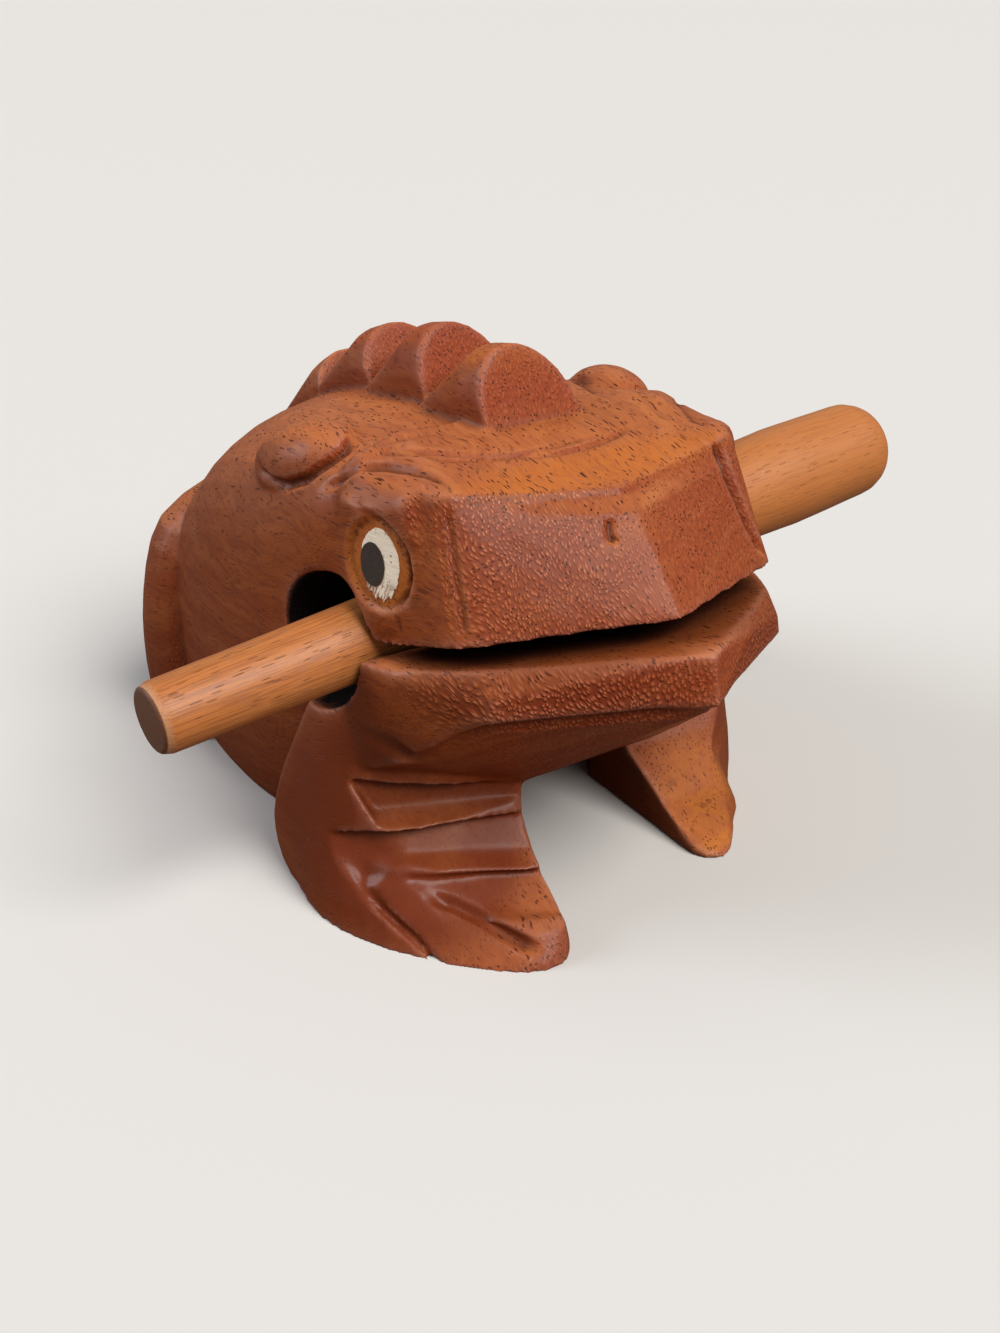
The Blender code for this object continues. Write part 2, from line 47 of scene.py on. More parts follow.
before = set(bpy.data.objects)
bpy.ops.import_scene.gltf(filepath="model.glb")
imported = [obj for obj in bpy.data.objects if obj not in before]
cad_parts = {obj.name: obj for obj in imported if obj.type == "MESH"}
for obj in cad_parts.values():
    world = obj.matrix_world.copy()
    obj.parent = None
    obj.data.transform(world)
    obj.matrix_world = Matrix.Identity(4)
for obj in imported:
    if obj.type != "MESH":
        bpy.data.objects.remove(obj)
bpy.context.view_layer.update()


class FrogCarving(PropertyGroup):
    """Sizes of the carving that is finer than the CAD solid."""

    grid: FloatProperty(
        name="Surface grid",
        description="Size of the faces that the carved surface is drawn with",
        default=0.00045,
        min=0.0003,
        unit="LENGTH",
    )
    softening: IntProperty(
        name="Softening",
        description="How many times the edges are rubbed down",
        default=4,
        min=0,
        max=20,
    )
    tool_marks: FloatProperty(
        name="Tool marks",
        description="Height of the low waves that the carving knife leaves",
        default=0.00022,
        unit="LENGTH",
    )
    triangle_limit: IntProperty(
        name="Triangles",
        description="Most triangles that the frog may have",
        default=192000,
        min=20000,
        max=199000,
    )


class EyePaint(PropertyGroup):
    """Sizes of the eyes."""

    socket_radius: FloatProperty(
        name="Socket radius",
        description="Radius of the flat round place that is cut for an eye",
        default=0.0069,
        unit="LENGTH",
    )
    white_width: FloatProperty(
        name="White width",
        description="Width of the painted white of an eye",
        default=0.0074,
        unit="LENGTH",
    )
    white_height: FloatProperty(
        name="White height",
        description="Height of the painted white of an eye",
        default=0.0100,
        unit="LENGTH",
    )
    pupil_width: FloatProperty(
        name="Pupil width",
        description="Width of the painted pupil",
        default=0.0048,
        unit="LENGTH",
    )
    pupil_height: FloatProperty(
        name="Pupil height",
        description="Height of the painted pupil",
        default=0.0062,
        unit="LENGTH",
    )
    paint: FloatProperty(
        name="Paint",
        description="Thickness of one coat of paint",
        default=0.00012,
        unit="LENGTH",
    )


class StickTurning(PropertyGroup):
    """Sizes of the stick that is turned by hand."""

    sides: IntProperty(
        name="Sides",
        description="Faces round the stick",
        default=96,
        min=24,
        max=200,
    )
    rings: IntProperty(
        name="Rings",
        description="Rings of faces along the stick",
        default=90,
        min=20,
        max=300,
    )
    waver: FloatProperty(
        name="Waver",
        description="How far the hand-turned surface strays from a true round",
        default=0.00012,
        unit="LENGTH",
    )
    rim: FloatProperty(
        name="Worn rim",
        description="Width of the rounding at the flat end",
        default=0.0005,
        unit="LENGTH",
    )


class WoodColours(PropertyGroup):
    """Colours of the wood and the paint."""

    heartwood: FloatVectorProperty(
        name="Heartwood",
        description="Main colour of the frog's wood",
        subtype="COLOR",
        default=(0.33, 0.064, 0.013),
    )
    pale_wood: FloatVectorProperty(
        name="Pale bands",
        description="Colour of the paler bands and worn edges",
        subtype="COLOR",
        default=(0.55, 0.185, 0.055),
    )
    orange_wood: FloatVectorProperty(
        name="Orange bands",
        description="Colour where the varnish lies thick on the lips and the brow",
        subtype="COLOR",
        default=(0.54, 0.150, 0.024),
    )
    burgundy_wood: FloatVectorProperty(
        name="Burgundy cuts",
        description="Colour of the smooth cuts of the forelegs",
        subtype="COLOR",
        default=(0.15, 0.023, 0.006),
    )
    # Colour laid into the hollows, more the deeper they lie.
    dark_wood: FloatVectorProperty(
        name="Dark hollows",
        description="Colour laid darker into hollows",
        subtype="COLOR",
        default=(0.075, 0.014, 0.005),
    )
    stick_wood: FloatVectorProperty(
        name="Stick wood",
        description="Main colour of the stick",
        subtype="COLOR",
        default=(0.52, 0.17, 0.038),
    )
    eye_white: FloatVectorProperty(
        name="Eye white",
        description="Colour of the white paint on the eyes",
        subtype="COLOR",
        default=(1.0, 0.88, 0.70),
    )
    floor_colour: FloatVectorProperty(
        name="Floor",
        description="Colour of the plain floor",
        subtype="COLOR",
        default=(0.70, 0.685, 0.66),
    )


class StageLight(PropertyGroup):
    """Strengths of the studio lamps."""

    key_strength: FloatProperty(
        name="Key lamp",
        description="Strength of the soft sun lamp above and in front",
        default=3.2,
    )
    window_strength: FloatProperty(
        name="Window lamp",
        description="Strength of the cool sun lamp behind at the left",
        default=1.5,
    )
    room: FloatProperty(
        name="Room light",
        description="Strength of the even light from all round",
        default=0.24,
    )


# Shader writing


class Wire:
    """A shader socket that adds Math nodes where it meets an operator."""

    def __init__(self, finish, socket):
        self.finish = finish
        self.socket = socket

    def __add__(self, other):
        return self.finish.maths("ADD", self, other)

    def __radd__(self, other):
        return self.finish.maths("ADD", other, self)

    def __sub__(self, other):
        return self.finish.maths("SUBTRACT", self, other)

    def __rsub__(self, other):
        return self.finish.maths("SUBTRACT", other, self)

    def __mul__(self, other):
        return self.finish.maths("MULTIPLY", self, other)

    def __rmul__(self, other):
        return self.finish.maths("MULTIPLY", other, self)

    def __abs__(self):
        return self.finish.maths("ABSOLUTE", self)

    def step(self, low, high):
        """0 below low, 1 above high and smooth between; low may be the larger one."""
        node = self.finish.node(
            "ShaderNodeMapRange",
            {"interpolation_type": "SMOOTHSTEP"},
            {"Value": self, "From Min": low, "From Max": high, "To Min": 0.0, "To Max": 1.0},
        )
        return Wire(self.finish, node.outputs["Result"])


class Finish:
    """One material under construction."""

    def __init__(self, name):
        self.material = bpy.data.materials.new(name)
        self.material.use_nodes = True
        self.tree = self.material.node_tree
        self.shader = self.tree.nodes["Principled BSDF"]
        place = self.node("ShaderNodeTexCoord")
        self.place = self.vector("SCALE", place.outputs["Object"], scale=PER_METRE)
        self.facing = Wire(self, place.outputs["Normal"])

    def node(self, kind, settings=None, inputs=None):
        """Add a node, make its settings, then give its sockets their values or links."""
        made = self.tree.nodes.new(kind)
        for key, value in (settings or {}).items():
            setattr(made, key, value)
        for key, value in (inputs or {}).items():
            self.give(made.inputs[key], value)
        return made

    def give(self, socket, value):
        """Link a wire or a socket, or set a plain value."""
        if isinstance(value, Wire):
            self.tree.links.new(value.socket, socket)
        elif isinstance(value, bpy.types.NodeSocket):
            self.tree.links.new(value, socket)
        else:
            socket.default_value = value

    def maths(self, operation, *values):
        """One Math node."""
        made = self.node("ShaderNodeMath", {"operation": operation}, dict(enumerate(values)))
        return Wire(self, made.outputs[0])

    def vector(self, operation, *values, scale=None):
        """One Vector Math node."""
        inputs = dict(enumerate(values))
        if scale is not None:
            inputs["Scale"] = scale
        made = self.node("ShaderNodeVectorMath", {"operation": operation}, inputs)
        return Wire(self, made.outputs["Vector"])

    def dot(self, vector, direction):
        """How far a vector reaches in a fixed direction."""
        made = self.node(
            "ShaderNodeVectorMath", {"operation": "DOT_PRODUCT"}, {0: vector, 1: tuple(direction)}
        )
        return Wire(self, made.outputs["Value"])

    def parts(self, vector):
        """The three numbers of a vector."""
        made = self.node("ShaderNodeSeparateXYZ", {}, {0: vector})
        return [Wire(self, made.outputs[i]) for i in range(3)]

    def join(self, x, y, z):
        """A vector from three numbers."""
        made = self.node("ShaderNodeCombineXYZ", {}, {0: x, 1: y, 2: z})
        return Wire(self, made.outputs[0])

    def noise(self, vector, detail=3.0, rough=0.55):
        """Noise with one wave per unit of the vector."""
        made = self.node(
            "ShaderNodeTexNoise",
            {"noise_dimensions": "3D"},
            {"Vector": vector, "Scale": 1.0, "Detail": detail, "Roughness": rough},
        )
        return Wire(self, made.outputs["Fac"])

    def cells(self, vector, space="2D"):
        """Distance to the nearest of scattered points, one in each unit of plane or space."""
        made = self.node(
            "ShaderNodeTexVoronoi",
            {"voronoi_dimensions": space, "feature": "F1"},
            {"Vector": vector, "Scale": 1.0, "Randomness": 1.0},
        )
        return Wire(self, made.outputs["Distance"])

    def tint(self, a, b, share):
        """Mix two colours."""
        made = self.node(
            "ShaderNodeMix",
            {"data_type": "RGBA", "blend_type": "MIX", "clamp_factor": True},
            {0: share, 6: a, 7: b},
        )
        return Wire(self, made.outputs[2])

    def layered(self, ground, layers):
        """Plain colours laid over the first one in turn, each by its share."""
        colour = rgba(ground)
        for over, share in layers:
            colour = self.tint(colour, rgba(over), share)
        return colour

    def tag(self, name):
        """A number kept on the mesh."""
        made = self.node(
            "ShaderNodeAttribute", {"attribute_type": "GEOMETRY", "attribute_name": name}
        )
        return Wire(self, made.outputs["Fac"])

    def bump(self, height, strength=1.0):
        """A bump from a height in millimetres."""
        made = self.node(
            "ShaderNodeBump", {}, {"Height": height, "Distance": MM, "Strength": strength}
        )
        return Wire(self, made.outputs["Normal"])

    def surface(self, **values):
        """Set or link sockets of the Principled shader."""
        for key, value in values.items():
            self.give(self.shader.inputs[key.replace("_", " ").title()], value)

    def wear(self, obj):
        """Put this material on an object as its only one."""
        obj.data.materials.clear()
        obj.data.materials.append(self.material)


def rgba(colour):
    """A colour with its alpha."""
    return (colour[0], colour[1], colour[2], 1.0)


# Tints of the frog's wood, painted light and shade among them, that are laid over the colours that
# a user may change.
DARK_STREAK = (0.20, 0.040, 0.017)
PALE_FIBRE = (0.58, 0.21, 0.075)
DARK_FIBRE = (0.17, 0.032, 0.014)
PAINTED_TOP_LIGHT = (0.60, 0.22, 0.085)
SPINE_RED = (0.38, 0.072, 0.020)
END_GRAIN_RED = (0.30, 0.046, 0.012)
LOW_PAINTED_SHADE = (0.11, 0.019, 0.005)
LIP_PAINTED_SHADE = (0.18, 0.036, 0.005)
GOLDEN_VARNISH = (0.54, 0.17, 0.026)
DARK_BLOT = (0.13, 0.03, 0.008)
SIDE_PAINTED_SHADE = (0.13, 0.021, 0.003)
PEBBLE_GAP_SHADE = (0.13, 0.020, 0.006)
PEBBLE_CROWN_HIGHLIGHT = (0.54, 0.185, 0.080)
OPEN_PORE = (0.060, 0.011, 0.004)
OCCLUSION_PAINTED_SHADE = (0.030, 0.006, 0.003)
HOLE_PAINTED_SHADE = (0.004, 0.002, 0.001)
EDGE_WEAR_AND_SHEEN = (0.56, 0.27, 0.20)


def frog_finish(colours):
    """Reddish wood under a satin varnish, with its fibres running from nose to tail."""
    f = Finish("frog_wood")
    x, y, z = f.parts(f.place)
    nx, ny, nz = f.parts(f.facing)
    wear_and_sheen = f.tag("wear_and_sheen")
    hollow = f.tag("hollow")
    occlusion_shade = f.tag("occlusion_shade")
    pebbled = f.tag("pebbled")
    orange = f.tag("orange")
    burgundy = f.tag("burgundy")
    golden = f.tag("golden")
    lip_shade_band = f.tag("lip_shade_band")
    plain = 1.0 - burgundy
    end_grain = abs(ny).step(0.45, 0.85) * plain
    sideways = abs(nx).step(0.5, 0.9)
    upper = nz.step(0.1, 0.7)
    spine = z.step(68.0, 70.5)

    # The grain isn't straight: it sways a few millimetres from its line.
    sway = f.noise(f.join(x * 0.08, y * 0.10, z * 0.08), 2.0)
    sway_up = f.noise(f.join(x * 0.08 + 31.0, y * 0.10, z * 0.08), 2.0)
    gx = x + (sway - 0.5) * 5.0
    gz = z + (sway_up - 0.5) * 5.0

    # Broad colour: slow patches and the bands of the year rings.
    patches = f.noise(f.join(x * 0.05, y * 0.03, z * 0.05), 2.0)
    ring_distance = f.maths("SQRT", (gx - 60.0) * (gx - 60.0) + (gz + 70.0) * (gz + 70.0))
    rings = f.noise(f.join(ring_distance * 0.42, y * 0.006, 0.0), 2.0)
    fibres = f.noise(f.join(gx * 2.6, y * 0.12, gz * 2.6), 3.0, 0.65)
    streaks = f.noise(f.join(gx * 1.1 + 7.0, y * 0.05, gz * 1.1), 2.0, 0.6)
    blots = f.noise(f.join(x * 0.20, y * 0.20, z * 0.20), 3.0, 0.7)

    # Pores: dark dashes along the grain, which end grain shows as dots.
    pore_distance = f.cells(f.join(gx * 2.0, y * 0.25, gz * 2.0), "3D")
    kept = f.noise(f.join(x * 0.5, y * 0.2 + 9.0, z * 0.5), 1.0).step(0.42, 0.56)
    pores = pore_distance.step(0.29, 0.18) * (0.40 + 0.60 * kept) * (1.0 - 0.75 * burgundy)

    # Grain ends that stand up as small glossy pebbles on the faces cut across the grain.
    pebble = f.cells(f.join(gx * 1.9 + gz * 0.25, gz * 1.15 - gx * 0.12, 0.0))
    dome = pebble.step(0.62, 0.05)
    crown = pebble.step(0.26, 0.08)
    rough_face = f.maths("MAXIMUM", end_grain * 0.45, pebbled) * (1.0 - 0.8 * burgundy)
    glossy = rough_face * crown

    wood = f.layered(colours.heartwood, (
        (colours.pale_wood, rings.step(0.42, 0.72) * 0.5),
        (colours.orange_wood, patches.step(0.46, 0.66) * 0.35),
        (DARK_STREAK, streaks.step(0.54, 0.36) * 0.45),
        (PALE_FIBRE, fibres.step(0.56, 0.72) * 0.35 * plain),
        (DARK_FIBRE, fibres.step(0.46, 0.30) * 0.40),
        # Painted light: surfaces facing up, save the fins, are paler as if lit from above.
        (PAINTED_TOP_LIGHT, upper * (1.0 - spine) * (0.14 + 0.30 * streaks)),
        (SPINE_RED, spine * 0.50),
        (END_GRAIN_RED, end_grain * 0.62),
        # Painted shade: the lower parts are darker, less where they face up.
        (LOW_PAINTED_SHADE, z.step(36.0, 10.0) * 0.40 * (1.0 - golden) * (1.0 - 0.5 * upper)),
        # Painted shade: the lip's top band lies darker in the shadow of the upper jaw.
        (LIP_PAINTED_SHADE, lip_shade_band * (0.65 + 0.35 * streaks)),
        (colours.orange_wood, orange * (0.35 + 0.9 * fibres.step(0.35, 0.65))),
        (GOLDEN_VARNISH, golden * (0.35 + 0.6 * blots.step(0.42, 0.6))),
        (DARK_BLOT, golden * blots.step(0.62, 0.68) * 0.5),
        (colours.burgundy_wood, burgundy * (0.88 - 0.30 * patches.step(0.5, 0.7))),
        # Painted shade: surfaces facing sideways are darker.
        (SIDE_PAINTED_SHADE, sideways * (0.50 + 0.35 * burgundy) * (1.0 - golden)),
        # Painted shade between the end-grain pebbles, and a painted highlight on their crowns.
        (PEBBLE_GAP_SHADE, rough_face * (1.0 - dome) * 0.65),
        (PEBBLE_CROWN_HIGHLIGHT, glossy * (0.22 + 0.42 * kept)),
        (OPEN_PORE, pores * (0.40 + 0.55 * upper)),
        # Hollows are darker, less so on the forelegs' cuts.
        (colours.dark_wood, hollow * (0.75 - 0.55 * burgundy)),
        # Painted shade: near black where the wood hides much of the sky over a point.
        (OCCLUSION_PAINTED_SHADE, occlusion_shade.step(0.30, 0.90) * 0.95),
        # Painted shade: the cross hole's wall is near black.
        (HOLE_PAINTED_SHADE, occlusion_shade.step(0.96, 1.0)),
        # Worn edges are paler, and edges and broad ridges carry a painted lilac sheen.
        (EDGE_WEAR_AND_SHEEN, wear_and_sheen * (0.22 + 0.38 * fibres)),
    ))
    grain_height = (fibres - 0.5) * 0.06 * (1.0 - 0.8 * burgundy)
    height = dome * rough_face * 0.22 - pores * 0.14 + grain_height
    dry = 0.10 * fibres + 0.10 * pores + 0.2 * occlusion_shade
    f.surface(
        base_color=wood,
        roughness=0.47 + dry - 0.10 * burgundy - 0.10 * glossy,
        coat_weight=(0.15 + 0.14 * burgundy + 0.22 * glossy) * (1.0 - occlusion_shade),
        normal=f.bump(height, 0.85),
    )
    f.shader.inputs["Coat Roughness"].default_value = 0.26
    f.shader.inputs["Specular IOR Level"].default_value = 0.14
    return f


# Tints of the stick's wood, with a painted highlight on its worn rim.
YELLOW_BAND = (0.54, 0.21, 0.06)
BROWN_FIBRE = (0.27, 0.078, 0.020)
RIPPLE_BROWN = (0.40, 0.15, 0.07)
DARK_LINE = (0.13, 0.038, 0.013)
HANDLED_DULL = (0.38, 0.14, 0.075)
THICK_END = (0.56, 0.19, 0.045)
SAWN_END = (0.085, 0.030, 0.014)
RIM_WEAR_AND_SHEEN = (0.58, 0.33, 0.19)


def stick_finish(colours, axis, start):
    """Paler turned wood with fine dark lines along the stick."""
    f = Finish("stick_wood")
    side = axis.cross(Vector((0.0, 0.0, 1.0))).normalized()
    up = side.cross(axis).normalized()
    local = f.vector("SUBTRACT", f.place, tuple(start * PER_METRE))
    u = f.dot(local, side)
    v = f.dot(local, up)
    t = f.dot(local, axis)
    wear_and_sheen = f.tag("wear_and_sheen")
    sway = f.noise(f.join(u * 0.08, v * 0.08, t * 0.03), 2.0)
    su = u + (sway - 0.5) * 2.5
    fine = f.noise(f.join(su * 3.4, v * 3.4, t * 0.07), 3.0, 0.6)
    bands = f.noise(f.join(su * 0.5, v * 0.35, t * 0.012), 2.0)
    lines = f.cells(f.join(su * 2.3, v * 2.3, t * 0.20), "3D").step(0.22, 0.13)
    ripples = f.noise(f.join(su * 0.5, v * 0.5, t * 0.75), 1.0)
    dull = f.noise(f.join(u * 0.05, v * 0.05, t * 0.05), 2.0)
    cut_end = t.step(0.55, 0.30)
    pith = f.noise(f.join(u * 2.2, v * 2.2, 0.0), 2.0)
    wood = f.layered(colours.stick_wood, (
        (YELLOW_BAND, bands.step(0.35, 0.7) * 0.6),
        (BROWN_FIBRE, fine.step(0.56, 0.38) * 0.6),
        (RIPPLE_BROWN, ripples.step(0.55, 0.75) * 0.3),
        (DARK_LINE, lines * 0.6),
        (HANDLED_DULL, dull.step(0.5, 0.75) * 0.35),
        (THICK_END, t.step(80.0, 105.0) * 0.55),
        (SAWN_END, cut_end * (0.75 + 0.25 * pith)),
        # The flat end's worn rim is paler, with a painted highlight on it.
        (RIM_WEAR_AND_SHEEN, wear_and_sheen * (1.0 - cut_end) * 0.7),
    ))
    f.surface(
        base_color=wood,
        roughness=0.42 + 0.16 * fine + 0.2 * cut_end,
        normal=f.bump((fine - 0.5) * 0.06 - lines * 0.08 + ripples * 0.03, 0.9),
    )
    f.shader.inputs["Coat Weight"].default_value = 0.12
    f.shader.inputs["Coat Roughness"].default_value = 0.3
    return f


# Tints of the eyes' paint.
AGED_WHITE = (0.78, 0.56, 0.38)
WORN_THROUGH = (0.30, 0.10, 0.035)
BRUSH_STRAND = (0.26, 0.09, 0.03)
PUPIL_BLACK = (0.018, 0.012, 0.009)
PUPIL_BROWN = (0.05, 0.034, 0.024)


def eye_white_finish(colours):
    """Hand-brushed off-white paint, worn through in specks."""
    f = Finish("eye_white_paint")
    x, y, z = f.parts(f.place)
    specks = f.noise(f.join(x * 1.4, y * 1.4, z * 1.4), 2.0, 0.6).step(0.63, 0.70)
    brushed = f.noise(f.join(x * 0.9, y * 0.5, z * 1.6), 3.0)
    strands = f.noise(f.join(x * 0.6, y * 2.2 + z * 0.9, z * 0.45), 2.0, 0.6).step(0.40, 0.52)
    low = z.step(53.0, 50.2)
    paint = f.layered(colours.eye_white, (
        (AGED_WHITE, brushed.step(0.5, 0.75) * 0.4),
        (WORN_THROUGH, specks * 0.75),
        (BRUSH_STRAND, low * strands * 0.85),
    ))
    f.surface(
        base_color=paint,
        roughness=0.55 + 0.2 * brushed,
        normal=f.bump(brushed * 0.1 - specks * 0.08),
    )
    return f


def pupil_finish():
    """Matt near-black paint."""
    f = Finish("pupil_paint")
    x, y, z = f.parts(f.place)
    brushed = f.noise(f.join(x * 1.2, y * 0.8, z * 1.2), 3.0)
    paint = f.layered(PUPIL_BLACK, ((PUPIL_BROWN, brushed),))
    f.surface(base_color=paint, roughness=0.5 + 0.2 * brushed, normal=f.bump(brushed * 0.06))
    return f


# Modelling helpers


def pick_none():
    """Leave edit mode and deselect everything."""
    if bpy.context.object and bpy.context.object.mode != "OBJECT":
        bpy.ops.object.mode_set(mode="OBJECT")
    bpy.ops.object.select_all(action="DESELECT")


def pick(obj):
    """Select one object alone and make it active."""
    pick_none()
    obj.select_set(True)
    bpy.context.view_layer.objects.active = obj


def press(obj, kind, **settings):
    """Add a modifier with these settings and apply it."""
    pick(obj)
    mod = obj.modifiers.new(kind.lower(), kind)
    for key, value in settings.items():
        setattr(mod, key, value)
    bpy.ops.object.modifier_apply(modifier=mod.name)


def ripple(obj, texture, height):
    """Low waves over the whole surface."""
    press(obj, "DISPLACE", texture=texture, strength=height, mid_level=0.5, texture_coords="LOCAL")


def settle(obj, name):
    """Apply place, turn and size, so that the object sits at the origin."""
    pick(obj)
    obj.name = name
    obj.data.name = name
    bpy.ops.object.transform_apply(location=True, rotation=True, scale=True)


def copied_node(node, name):
    """A merged copy of a CAD node's mesh as a new object."""
    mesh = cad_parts[node].data.copy()
    mesh.name = name
    obj = bpy.data.objects.new(name, mesh)
    bpy.context.scene.collection.objects.link(obj)
    pick(obj)
    bpy.ops.object.mode_set(mode="EDIT")
    bpy.ops.mesh.select_all(action="SELECT")
    bpy.ops.mesh.remove_doubles(threshold=0.00002)
    bpy.ops.object.mode_set(mode="OBJECT")
    return obj


def numbers_of(items, name, width, kind):
    """One number list of a mesh as an array with a row for each item."""
    flat = np.empty(len(items) * width, kind)
    items.foreach_get(name, flat)
    return flat.reshape(-1, width)


def points_of(obj):
    """The vertices of an object."""
    return numbers_of(obj.data.vertices, "co", 3, np.float64)


def put_points(obj, points):
    """Write vertices back."""
    obj.data.vertices.foreach_set("co", points.ravel())
    obj.data.update()


def normals_of(obj):
    """The vertex normals of an object."""
    return numbers_of(obj.data.vertices, "normal", 3, np.float32).astype(np.float64)


def edge_pairs(obj):
    """The two vertex numbers of each edge."""
    return numbers_of(obj.data.edges, "vertices", 2, np.int32)


def relaxed(points, pairs, times, share=0.5):
    """Points pulled towards the mean of their neighbours."""
    count = np.bincount(pairs.ravel(), minlength=len(points)).astype(np.float64)
    count[count == 0] = 1.0
    now = points.copy()
    for _ in range(times):
        total = np.empty_like(now)
        for axis in range(3):
            a = np.bincount(pairs[:, 0], weights=now[pairs[:, 1], axis], minlength=len(now))
            b = np.bincount(pairs[:, 1], weights=now[pairs[:, 0], axis], minlength=len(now))
            total[:, axis] = a + b
        now = now + share * (total / count[:, None] - now)
    return now


def stand_and_sink(obj):
    """How far each point stands out from, or lies in, the form around it, from 0 to 1."""
    points = points_of(obj)
    normals = normals_of(obj)
    pairs = edge_pairs(obj)
    near = relaxed(points, pairs, 12)
    wide = relaxed(points, pairs, 70)

    def height(over, under, full):
        return np.einsum("ij,ij->i", over - under, normals) / (full * MM)

    # Edges that stand out are paler from wear and carry a painted sheen; broad ridges carry the
    # painted sheen alone.
    wear_and_sheen = np.clip(height(points, near, 0.25) - 0.35, 0.0, 1.0)
    ridge_sheen = np.clip(height(points, wide, 0.8) - 0.30, 0.0, 1.0)
    sunk = np.maximum(height(wide, points, 0.7), height(near, points, 0.20))
    return np.maximum(wear_and_sheen, 0.7 * ridge_sheen), np.clip(sunk - 0.25, 0.0, 1.0)


def enclosed(obj, reach):
    """The share of the sky over each point that the wood itself hides within reach."""
    tree = BVHTree.FromObject(obj, bpy.context.evaluated_depsgraph_get())
    points = points_of(obj)
    normals = normals_of(obj)
    helper = np.where(np.abs(normals[:, 2:]) < 0.9, [[0.0, 0.0, 1.0]], [[1.0, 0.0, 0.0]])
    first = np.cross(normals, helper)
    first /= np.linalg.norm(first, axis=1)[:, None]
    second = np.cross(normals, first)
    hidden = np.zeros(len(points))
    # One ray straight out and two rounds of five: the lean's sine and the turn in degrees.
    tries = [(0.0, 0.0)]
    tries += [(0.75, 72.0 * k) for k in range(5)]
    tries += [(0.93, 72.0 * k + 36.0) for k in range(5)]
    for lean, turn in tries:
        turn = math.radians(turn)
        rays = (
            normals * math.sqrt(1.0 - lean * lean)
            + first * (lean * math.cos(turn))
            + second * (lean * math.sin(turn))
        )
        starts = points + normals * (0.15 * MM)
        for i, (start, ray) in enumerate(zip(starts.tolist(), rays.tolist())):
            if tree.ray_cast(start, ray, reach)[0] is not None:
                hidden[i] += 1.0
    share = np.repeat((hidden / len(tries))[:, None], 3, axis=1)
    return relaxed(share, edge_pairs(obj), 3)[:, 0]


def patch(points, centre, radii, border=0.35):
    """1 inside an egg round a place in millimetres, 0 outside it and a soft border between."""
    away = np.linalg.norm((points / MM - np.array(centre)) / np.array(radii), axis=1)
    share = np.clip((1.0 + border - away) / (2.0 * border), 0.0, 1.0)
    return share * share * (3.0 - 2.0 * share)


def keep_tags(obj, tags):
    """Keep numbers on the mesh for the material to read."""
    for name, values in tags.items():
        layer = obj.data.attributes.new(name, "FLOAT", "POINT")
        layer.data.foreach_set("value", np.clip(values, 0.0, 1.0).astype(np.float32))


def rub(obj, places, times):
    """Rub some places smooth, as with a pad of abrasive, each an egg in millimetres."""
    points = points_of(obj)
    share = np.zeros(len(points))
    for centre, radii in places:
        share = np.maximum(share, patch(points, centre, radii))
    group = obj.vertex_groups.new(name="rubbed")
    steps = 10
    for step in range(1, steps + 1):
        chosen = np.nonzero(np.round(share * steps) == step)[0]
        if len(chosen):
            group.add(chosen.tolist(), step / steps, "REPLACE")
    press(obj, "SMOOTH", factor=0.5, iterations=times, vertex_group=group.name)
    obj.vertex_groups.clear()


def stroke(obj, path, width, depth):
    """One pull of the carving tool along a path: the wood near it is pushed in, deepest on it.

    A sculpting brush needs a window, so the stroke is written as moves of the vertices.
    The path is in millimetres; width is half the stroke's width.
    """
    points = points_of(obj)
    normals = normals_of(obj)
    line = np.array(path) * MM
    low = line.min(axis=0) - width * MM
    high = line.max(axis=0) + width * MM
    chosen = np.nonzero(np.all((points > low) & (points < high), axis=1))[0]
    near = points[chosen]
    best = np.full(len(near), np.inf)
    run_share = np.zeros(len(near))
    lengths = np.linalg.norm(np.diff(line, axis=0), axis=1)
    run = np.concatenate([[0.0], np.cumsum(lengths)])
    for i, (a, b) in enumerate(zip(line[:-1], line[1:])):
        span = b - a
        share = np.clip((near - a) @ span / (span @ span), 0.0, 1.0)
        away = np.linalg.norm(near - (a + share[:, None] * span), axis=1)
        at = (run[i] + share * lengths[i]) / run[-1]
        closer = away < best
        best = np.where(closer, away, best)
        run_share = np.where(closer, at, run_share)
    # The tool goes in and comes out over about a sixth of the path.
    ends = np.clip(np.minimum(run_share, 1.0 - run_share) * 6.0 + 0.15, 0.0, 1.0)
    reach = np.clip(1.0 - best / (width * MM), 0.0, 1.0)
    push = depth * MM * ends * reach * reach * (3.0 - 2.0 * reach)
    points[chosen] = near - normals[chosen] * push[:, None]
    put_points(obj, points)


def mirrored(path):
    """The same path on the frog's other side."""
    return [(-x, y, z) for x, y, z in path]


def dish(obj, centre, radius, depth, outward):
    """A shallow round dish pressed into the wood round a point, where the wood faces outward."""
    points = points_of(obj)
    normals = normals_of(obj)
    away = np.linalg.norm(points - np.array(centre), axis=1) / radius
    facing = np.clip(normals @ np.array(outward) * 2.0, 0.0, 1.0)
    inside = np.clip((1.0 - away) / 0.16, 0.0, 1.0)
    push = depth * facing * inside * inside * (3.0 - 2.0 * inside)
    put_points(obj, points - np.array(outward)[None, :] * push[:, None])


# Where a line from the side meets the middle of an eye, in metres.
EYE_Y = -0.0434
EYE_Z = 0.0542


def eye_place(frog, side):
    """The middle of an eye on the head."""
    start = Vector((side * 0.08, EYE_Y, EYE_Z))
    hit, place, _, _ = frog.ray_cast(start, Vector((-side, 0.0, 0.0)))
    if not hit:
        raise RuntimeError("the line for an eye misses the head")
    return place


